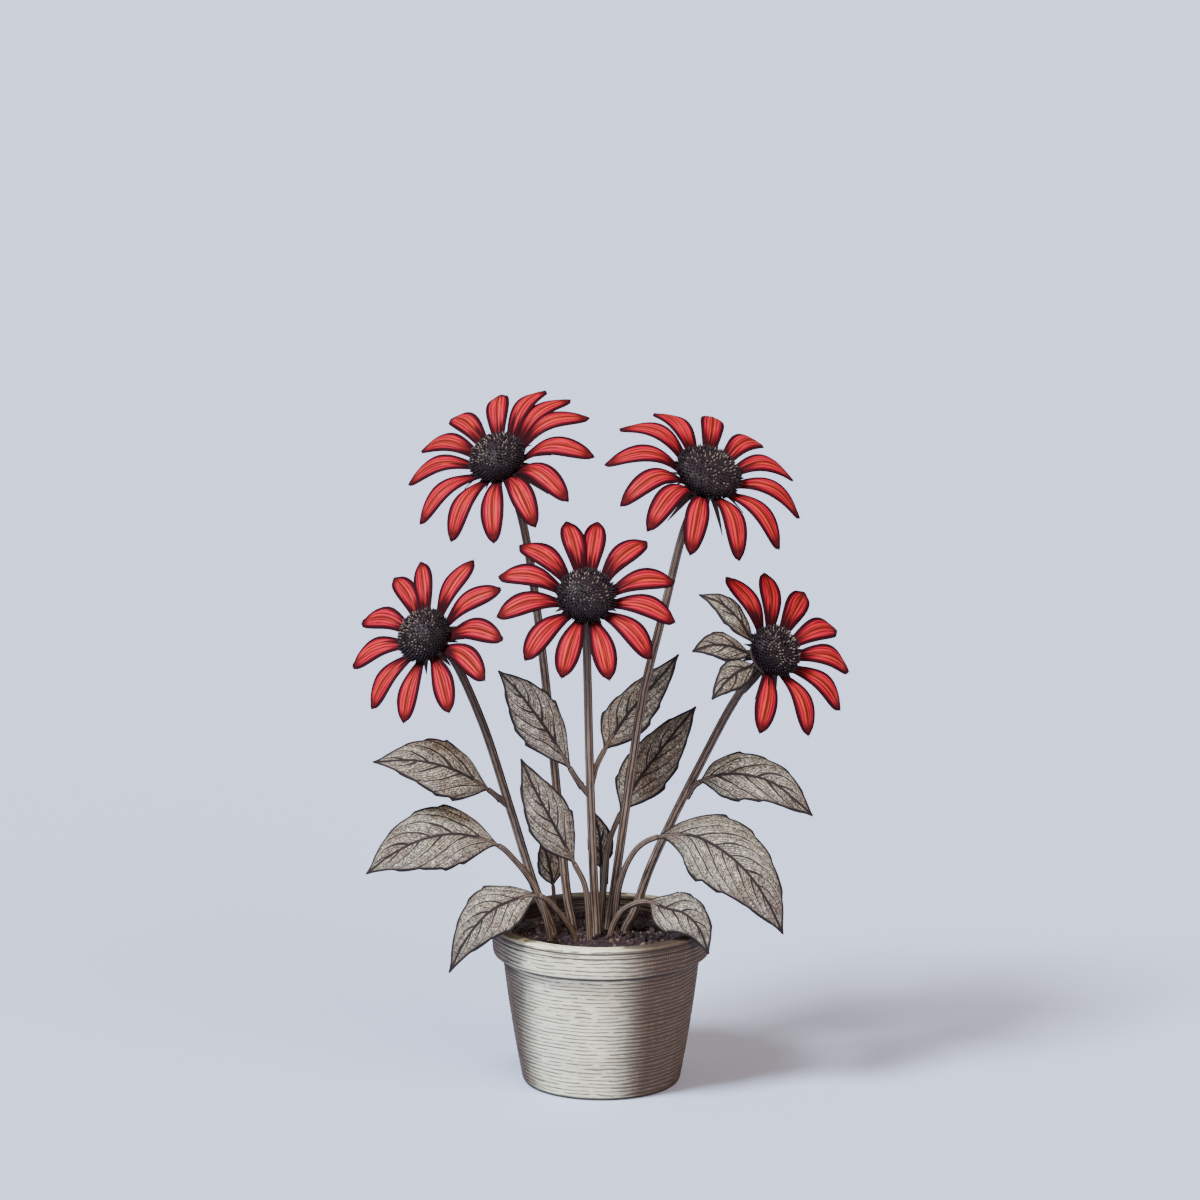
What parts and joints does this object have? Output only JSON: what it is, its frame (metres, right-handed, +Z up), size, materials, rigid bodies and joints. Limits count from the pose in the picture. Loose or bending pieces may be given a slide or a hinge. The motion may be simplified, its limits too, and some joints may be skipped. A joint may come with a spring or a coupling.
{
  "type": "potted tomato soup coneflower",
  "caption": "Coneflower in a plain round pot: red-orange daisy blooms with dark domed cones on tall leafy stems, above a tuft of toothed, pointed basal leaves.",
  "frame": {"origin": "on the surface that the pot stands on, under the middle of the plant's box, which is the pot's axis to within 1 mm", "axes": "+Z up along the pot's axis, -Y towards the viewer of the picture, +X to that viewer's right"},
  "size_m": [0.3364, 0.1708, 0.4665],
  "materials": {
    "pot": "matt cream-grey fired clay with fine thrown lines",
    "soil": "loose dark bark compost",
    "stem": "ribbed, finely hairy, darker at the necks",
    "leaf": "matt, with dark net veins and toothed dark margins",
    "petal": "soft satin, ribbed lengthwise, dark at root, margin and tip",
    "cone": "stiff near-black spiny florets with pale glints"
  },
  "bodies": {
    "root": {"pot": "pot", "soil": "soil", "flower_stem_top_left": "stem", "ray_petals_top_left": "petal", "cone_top_left": "cone", "flower_stem_top_right": "stem", "ray_petals_top_right": "petal", "cone_top_right": "cone", "flower_stem_left": "stem", "ray_petals_left": "petal", "cone_left": "cone", "flower_stem_centre": "stem", "ray_petals_centre": "petal", "cone_centre": "cone", "flower_stem_right": "stem", "ray_petals_right": "petal", "cone_right": "cone", "basal_leaf_left": "leaf", "basal_leaf_left_upright": "leaf", "basal_leaf_left_small": "leaf", "basal_leaf_left_front": "leaf", "basal_leaf_right_upright": "leaf", "basal_leaf_right_small": "leaf", "basal_leaf_right": "leaf", "basal_leaf_right_front": "leaf"}
  },
  "joints": []
}
